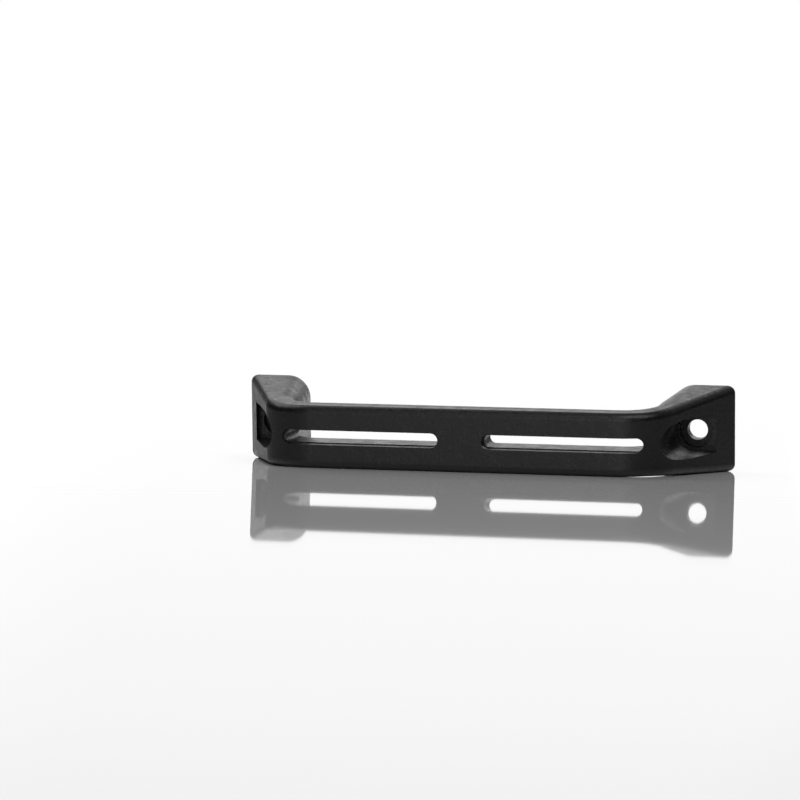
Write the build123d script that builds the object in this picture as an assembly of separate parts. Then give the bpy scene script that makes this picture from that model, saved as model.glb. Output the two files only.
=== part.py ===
from build123d import *
import os
from math import radians, sin, tan

# Moulded bridge pull handle: two flared legs joined by a slotted grip, one solid.
# Frame: X along the handle, mounting plane at y = 0 with the grip at -Y, Z across the width.
# The origin lies on the mounting plane, midway between the two screw holes.
# Heights are measured from the mounting plane, so a height h lies at y = -h.

# overall sizes, mm
overall_length = 209.4
projection = 57.0            # mounting plane to the outer face of the grip
grip_width = 26.0
grip_thickness = 16.8
foot_width = 36.0
foot_length = 26.4

# legs and bends
outer_slant = 24.0           # degrees, outer leg face from the projection direction
inner_slant = 6.5            # degrees, inner leg face from the projection direction
outer_bend_radius = 24.0
inner_bend_radius = 10.0
flare_top = 7.0              # outer face of the grip down to where the side flare ends
flare_blend_radius = 30.0

# rounded edges
edge_radius = 3.2            # outer edges of the grip and the legs
finger_radius = 7.5          # finger side of the grip, its bends and the tops of the legs
foot_corner_radius = 9.6     # inner corners of each foot, closing to the finger radius
foot_corner_top = 3.0        # start of the inner bend down to where a foot corner has closed
foot_edge_break = 0.8        # where the sides of a foot meet the mounting plane

# screw seats
hole_inset = 15.2            # end of a foot to the axis of its screw hole
screw_hole = 8.5             # clearance for an M8 screw
head_bore = 14.0             # counterbore for the screw head
head_seat = 6.0              # plastic left under the screw head
pocket_width = 16.2          # tool pocket, round towards the grip and square outwards
pocket_square = 9.0          # hole centre to the square end of the pocket
pocket_floor = 9.5           # height of the pocket floor

# grip slots
slot_width = 6.0             # at the mouth, in the outer face of the grip
slot_mouth = 4.5             # depth of the mouth
slot_step = 0.35             # each side, where the slot narrows behind its mouth
slot_bridge = 18.0           # solid middle of the grip between the two slots
slot_inset = 29.2            # end of a foot to the outer end of the slot beside it

beyond = 5.0                 # how far cutting tools run past a surface
near = 0.01                  # closeness at which edges and corners count as lying on a surface

half_length = overall_length / 2
half_opening = half_length - foot_length
hole_spacing = overall_length - 2 * hole_inset
slot_reach = half_length - slot_inset          # middle of the handle to the outer end of a slot
finger_height = projection - grip_thickness
bend_height = finger_height - inner_bend_radius * (1 - sin(radians(inner_slant)))
foot_corner_reach = bend_height - foot_corner_top
flare_reach = projection - flare_top


def trapezoid(half_base, height, slant, below=0.0):
    """Symmetric trapezoid on the mounting plane; its sides lean inwards by slant degrees."""
    lean = tan(radians(slant))
    low, top = half_base + below * lean, half_base - height * lean
    return make_face(Polyline(
        (-low, below), (low, below), (top, -height), (-top, -height), close=True))


def rounded_top(face, radius):
    """Rounds the two corners that lie furthest from the mounting plane."""
    return fillet(face.vertices().sort_by(Axis.Y)[:2], radius)


def half_width(height):
    """Half the width of the flat flared sides at a height."""
    flare = (foot_width - grip_width) / 2
    return foot_width / 2 - flare * height / flare_reach


def width_envelope():
    """End-on outline: as wide as the grip, opening to the foot width at the legs."""
    grip, base, top = grip_width / 2, half_width(-beyond), projection + beyond
    outline = make_face(Plane.YZ * Polyline(
        (beyond, base), (-flare_reach, grip), (-top, grip),
        (-top, -grip), (-flare_reach, -grip), (beyond, -base), close=True))
    knees = outline.vertices().filter_by(lambda v: abs(v.Y + flare_reach) < near)
    return extrude(fillet(knees, flare_blend_radius), half_length + beyond, both=True)


def rim_edges(solid, profile):
    """Long edges of the solid that follow a profile extruded across its width."""
    walls = extrude(profile, foot_width, both=True).faces().filter_by(Axis.Z, reverse=True)
    rim = ShapeList()
    for edge in solid.edges():
        middle = edge @ 0.5
        on_wall = min(wall.distance_to(middle) for wall in walls) < near
        across = abs(edge.tangent_at(0.5).Z) > 1 - near
        if on_wall and not across and middle.Y < -near:
            rim.append(edge)
    return rim


def foot_corner(height):
    """Section of what is cut off a foot's inner corner, on the plane at a height."""
    shrink = (foot_corner_radius - finger_radius) * height / foot_corner_reach
    radius = foot_corner_radius - shrink
    inner = half_opening - height * tan(radians(inner_slant))
    side = half_width(height)
    bend = radius * (1 - 0.5 ** 0.5)
    arc = ThreePointArc(
        (inner, -height, side - radius),
        (inner + bend, -height, side - bend),
        (inner + radius, -height, side))
    rest = Polyline(
        (inner + radius, -height, side),
        (inner + radius, -height, side + beyond),
        (inner - beyond, -height, side + beyond),
        (inner - beyond, -height, side - radius),
        (inner, -height, side - radius))
    return make_face(arc.edges() + rest.edges())


def four_corners(tool):
    """The tool and its mirror images at both ends and both sides of the handle."""
    pair = [tool, mirror(tool, Plane.XY)]
    return pair + [mirror(each, Plane.YZ) for each in pair]


def both_ends(tool):
    """The tool and its mirror image at the other end of the handle."""
    return [tool, mirror(tool, Plane.YZ)]


def prism(sketch, low, high):
    """A sketch drawn in X and Z, made solid between two heights."""
    start = Plane(origin=(0, -low, 0), x_dir=(1, 0, 0), z_dir=(0, -1, 0))
    return extrude(start * sketch, high - low)


def screw_seat():
    """Tool pocket, head counterbore and screw hole of the leg at +X."""
    at_screw = Pos(hole_spacing / 2, 0)
    pocket = Circle(pocket_width / 2) + Pos(pocket_square / 2, 0) * Rectangle(pocket_square, pocket_width)
    seat = prism(at_screw * pocket, pocket_floor, projection + beyond)
    seat += prism(at_screw * Circle(head_bore / 2), head_seat, projection)
    seat += prism(at_screw * Circle(screw_hole / 2), -beyond, projection)
    return seat


def grip_slot():
    """Round-ended slot through the grip on the +X side, a little wider at its mouth."""
    length = slot_reach - slot_bridge / 2
    middle = Pos((slot_reach + slot_bridge / 2) / 2, 0)
    mouth = middle * SlotOverall(length, slot_width)
    throat = middle * SlotOverall(length - 2 * slot_step, slot_width - 2 * slot_step)
    return prism(mouth, projection - slot_mouth, projection + beyond) + prism(throat, -beyond, projection)


def handle():
    outer = rounded_top(trapezoid(half_length, projection, outer_slant), outer_bend_radius)
    opening = rounded_top(
        trapezoid(half_opening, finger_height, inner_slant, beyond), inner_bend_radius)
    body = extrude(outer, foot_width, both=True) & width_envelope()
    body = fillet(rim_edges(body, outer), edge_radius)
    body -= extrude(opening, foot_width, both=True)
    body = fillet(rim_edges(body, opening), finger_radius)
    corner = loft([foot_corner(-beyond), foot_corner(foot_corner_reach + foot_corner_top / 2)], ruled=True)
    body -= four_corners(corner)
    foot_edges = body.edges().filter_by(lambda e: abs((e @ 0.5).Y) < near)
    body = fillet(foot_edges, foot_edge_break)
    body -= both_ends(screw_seat())
    body -= both_ends(grip_slot())
    return body


solid = handle()
size = solid.bounding_box().size
print(f"handle {size.X:.1f} x {size.Y:.1f} x {size.Z:.1f} mm")
print(f"volume {solid.volume / 1000:.1f} cm3, valid {solid.is_valid}")
os.makedirs("parts", exist_ok=True)
export_step(solid, "parts/handle.step")
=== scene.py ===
import bpy
from math import atan2, cos, degrees, pi, radians, sin
from mathutils import Matrix, Vector

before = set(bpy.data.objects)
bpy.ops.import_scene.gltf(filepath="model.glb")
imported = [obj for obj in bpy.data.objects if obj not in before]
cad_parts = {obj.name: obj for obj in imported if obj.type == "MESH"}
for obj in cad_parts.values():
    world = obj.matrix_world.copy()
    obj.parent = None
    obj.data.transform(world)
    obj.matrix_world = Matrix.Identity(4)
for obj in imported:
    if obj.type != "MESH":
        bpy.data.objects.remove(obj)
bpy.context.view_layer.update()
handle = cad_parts["handle"]
print("frame loaded")

footReach = 0.005   # metres ahead of the heel that are left out when the handle tips forward


# the floor touches the handle where it lies: both lower foot edges and the lower edge of the grip
def restingPlane(mesh):
    points = [v.co for v in mesh.vertices]
    heel = min(points, key=lambda p: (p.z, -p.y))
    ahead = [p for p in points if p.y < heel.y - footReach]
    tilt = min(atan2(p.z - heel.z, heel.y - p.y) for p in ahead)
    return heel.copy(), tilt


heel, tilt = restingPlane(handle.data)
across = Vector((1, 0, 0))
depth = Vector((0, cos(tilt), -sin(tilt)))
up = Vector((0, sin(tilt), cos(tilt)))
floorPoint = Vector((0, heel.y, heel.z))
print(f"floor tilt {degrees(tilt):.2f} degrees")


# a point given along the handle, in depth and in height above the floor
def place(x, y, z):
    return floorPoint + across * x + depth * y + up * z


# a direction from its turn, clockwise from straight behind the handle, and its rise above
# the floor, both in degrees
def towards(turn, rise):
    level = depth * cos(radians(turn)) + across * sin(radians(turn))
    return level * cos(radians(rise)) + up * sin(radians(rise))


floorSetup = {
    "size": 12.0,                  # metres
    "colour": (0.93, 0.93, 0.93),
    "roughness": 0.03,
    "ior": 1.5,
    "coat": 0.35,                  # clear layer that deepens the mirror image
}


def makeFloor(values):
    half = values["size"] / 2
    corners = [place(-half, -half, 0), place(half, -half, 0), place(half, half, 0), place(-half, half, 0)]
    mesh = bpy.data.meshes.new("floor")
    mesh.from_pydata(corners, [], [(0, 1, 2, 3)])
    floor = bpy.data.objects.new("floor", mesh)
    bpy.context.scene.collection.objects.link(floor)
    material = bpy.data.materials.new("paleGlossyFloor")
    material.use_nodes = True
    shader = material.node_tree.nodes["Principled BSDF"]
    shader.inputs["Base Color"].default_value = (*values["colour"], 1)
    shader.inputs["Roughness"].default_value = values["roughness"]
    shader.inputs["IOR"].default_value = values["ior"]
    shader.inputs["Coat Weight"].default_value = values["coat"]
    mesh.materials.append(material)


makeFloor(floorSetup)
print("floor made")

# sizes and depths in metres
nylonFinish = {
    "darkColour": (0.0066, 0.0066, 0.0069),
    "lightColour": (0.0098, 0.0098, 0.0100),
    "mottleSize": 0.0040,          # faint cloudy patches from the flow of the plastic
    "mottleDetail": 3,
    "specular": 0.34,
    "roughness": (0.27, 0.42),     # of the glossiest and the dullest spots
    "spotRange": (0.15, 0.38),     # grain times mottle at those spots
    "grainSize": 0.0007,           # fine moulded texture
    "grainDetail": 2,
    "grainDepth": 0.00008,
    "peelSize": 0.0024,            # slight waviness, seen where light grazes the surface
    "peelDetail": 2,
    "peelDepth": 0.00009,
}


def addNoise(tree, vector, size, detail):
    noise = tree.nodes.new("ShaderNodeTexNoise")
    noise.inputs["Scale"].default_value = 1 / size
    noise.inputs["Detail"].default_value = detail
    tree.links.new(vector, noise.inputs["Vector"])
    return noise.outputs["Fac"]


def addBump(tree, height, distance, under=None):
    bump = tree.nodes.new("ShaderNodeBump")
    bump.inputs["Distance"].default_value = distance
    tree.links.new(height, bump.inputs["Height"])
    if under:
        tree.links.new(under, bump.inputs["Normal"])
    return bump.outputs["Normal"]


def makeNylon(values):
    material = bpy.data.materials.new("blackNylon")
    material.use_nodes = True
    tree = material.node_tree
    shader = tree.nodes["Principled BSDF"]
    shader.inputs["Specular IOR Level"].default_value = values["specular"]
    onObject = tree.nodes.new("ShaderNodeTexCoord").outputs["Object"]

    mottle = addNoise(tree, onObject, values["mottleSize"], values["mottleDetail"])
    colour = tree.nodes.new("ShaderNodeMix")
    colour.data_type = "RGBA"
    colour.inputs["A"].default_value = (*values["darkColour"], 1)
    colour.inputs["B"].default_value = (*values["lightColour"], 1)
    tree.links.new(mottle, colour.inputs["Factor"])
    tree.links.new(colour.outputs["Result"], shader.inputs["Base Color"])

    grain = addNoise(tree, onObject, values["grainSize"], values["grainDetail"])
    spots = tree.nodes.new("ShaderNodeMath")
    spots.operation = "MULTIPLY"
    tree.links.new(grain, spots.inputs[0])
    tree.links.new(mottle, spots.inputs[1])
    roughness = tree.nodes.new("ShaderNodeMapRange")
    roughness.inputs["From Min"].default_value = values["spotRange"][0]
    roughness.inputs["From Max"].default_value = values["spotRange"][1]
    roughness.inputs["To Min"].default_value = values["roughness"][0]
    roughness.inputs["To Max"].default_value = values["roughness"][1]
    tree.links.new(spots.outputs["Value"], roughness.inputs["Value"])
    tree.links.new(roughness.outputs["Result"], shader.inputs["Roughness"])

    peel = addNoise(tree, onObject, values["peelSize"], values["peelDetail"])
    peelNormal = addBump(tree, peel, values["peelDepth"])
    grainNormal = addBump(tree, grain, values["grainDepth"], peelNormal)
    tree.links.new(grainNormal, shader.inputs["Normal"])
    return material


handle.data.materials.clear()
handle.data.materials.append(makeNylon(nylonFinish))
print("nylon on the handle")

# softboxes: turn and rise in degrees as in towards, away and size in metres
lampSetup = {
    "frontTopSoftbox": {"turn": 180, "rise": 48, "away": 2.0, "size": (1.0, 1.0), "radiance": 1.6},
    "rightSoftbox": {"turn": 135, "rise": 58, "away": 2.0, "size": (1.2, 1.2), "radiance": 3.0},
    "leftSoftbox": {"turn": -68, "rise": 51, "away": 2.0, "size": (1.4, 1.2), "radiance": 1.9},
    "topSoftbox": {"turn": 0, "rise": 84, "away": 2.0, "size": (1.1, 0.8), "radiance": 0.5},
}


def makeLamp(name, values):
    lamp = bpy.data.lights.new(name, "AREA")
    lamp.shape = "RECTANGLE"
    lamp.size, lamp.size_y = values["size"]
    lamp.energy = values["radiance"] * pi * lamp.size * lamp.size_y
    lampObject = bpy.data.objects.new(name, lamp)
    direction = towards(values["turn"], values["rise"])
    lampObject.location = floorPoint + direction * values["away"]
    levelSide = direction.cross(up).normalized()
    facing = Matrix((levelSide, levelSide.cross(-direction), direction))
    lampObject.rotation_euler = facing.transposed().to_euler()
    bpy.context.scene.collection.objects.link(lampObject)


for lampName, lampValues in lampSetup.items():
    makeLamp(lampName, lampValues)
print("lamps made")

# soft round glows on the walls round the handle: turn and rise of the centre, and the two
# distances from it between which the glow fades, all in degrees, and its brightness
glowSetup = {
    "whiteSheet": {"turn": -16, "rise": 1, "full": 10, "faded": 19, "level": 1.1},
    "sheetEdge": {"turn": -36, "rise": 2, "full": 6, "faded": 18, "level": 0.2},
    "lowWindow": {"turn": 1, "rise": 3, "full": 4, "faded": 9, "level": 1.65},
    "midWindow": {"turn": 0, "rise": 18, "full": 5, "faded": 12, "level": 1.3},
    "highLeft": {"turn": -22, "rise": 28, "full": 9, "faded": 18, "level": 1.15},
    "highRight": {"turn": 12, "rise": 35, "full": 6, "faded": 14, "level": 1.4},
    "farRight": {"turn": 40, "rise": 30, "full": 10, "faded": 22, "level": 0.3},
    "frontWall": {"turn": 180, "rise": 12, "full": 8, "faded": 24, "level": 1.7},
}


def addGlow(tree, direction, values):
    nearness = tree.nodes.new("ShaderNodeVectorMath")
    nearness.operation = "DOT_PRODUCT"
    nearness.inputs[1].default_value = towards(values["turn"], values["rise"])
    tree.links.new(direction, nearness.inputs[0])
    glow = tree.nodes.new("ShaderNodeMapRange")
    glow.interpolation_type = "SMOOTHSTEP"
    glow.inputs["From Min"].default_value = cos(radians(values["faded"]))
    glow.inputs["From Max"].default_value = cos(radians(values["full"]))
    glow.inputs["To Max"].default_value = values["level"]
    tree.links.new(nearness.outputs["Value"], glow.inputs["Value"])
    return glow.outputs["Result"]


# the camera sees plain white all round; the handle and the floor mirror the glows, and black between them
def makeWorld(glows):
    world = bpy.data.worlds.new("studio")
    bpy.context.scene.world = world
    world.use_nodes = True
    tree = world.node_tree
    direction = tree.nodes.new("ShaderNodeTexCoord").outputs["Generated"]
    total = None
    for values in glows.values():
        add = tree.nodes.new("ShaderNodeMath")
        add.inputs[0].default_value = 0
        if total:
            tree.links.new(total, add.inputs[0])
        tree.links.new(addGlow(tree, direction, values), add.inputs[1])
        total = add.outputs["Value"]

    path = tree.nodes.new("ShaderNodeLightPath")
    strength = tree.nodes.new("ShaderNodeMix")
    strength.inputs["B"].default_value = 1
    tree.links.new(path.outputs["Is Camera Ray"], strength.inputs["Factor"])
    tree.links.new(total, strength.inputs["A"])
    background = tree.nodes["Background"]
    background.inputs["Color"].default_value = (1, 1, 1, 1)
    tree.links.new(strength.outputs["Result"], background.inputs["Strength"])


makeWorld(glowSetup)
print("glows made")

cameraSetup = {
    "at": (0.3245, -1.4359, 0.0976),   # metres along the handle, in depth and above the floor
    "turn": 14.223,                    # degrees between the view and straight across the handle
    "pitch": 2.763,
    "roll": 0.758,
    "lens": 157.2,                     # millimetres
}


def makeCamera(values):
    turn, pitch, roll = (radians(values[key]) for key in ("turn", "pitch", "roll"))
    level = depth * cos(turn) - across * sin(turn)
    forward = level * cos(pitch) - up * sin(pitch)
    right = across * cos(turn) + depth * sin(turn)
    top = right.cross(forward)
    tiltedRight = right * cos(roll) + top * sin(roll)
    tiltedTop = top * cos(roll) - right * sin(roll)
    camera = bpy.data.objects.new("camera", bpy.data.cameras.new("camera"))
    camera.data.lens = values["lens"]
    turned = Matrix((tiltedRight, tiltedTop, -forward)).transposed().to_4x4()
    camera.matrix_world = Matrix.Translation(place(*values["at"])) @ turned
    bpy.context.scene.collection.objects.link(camera)
    bpy.context.scene.camera = camera


makeCamera(cameraSetup)
bpy.context.scene.view_settings.view_transform = "Standard"
print("camera made")
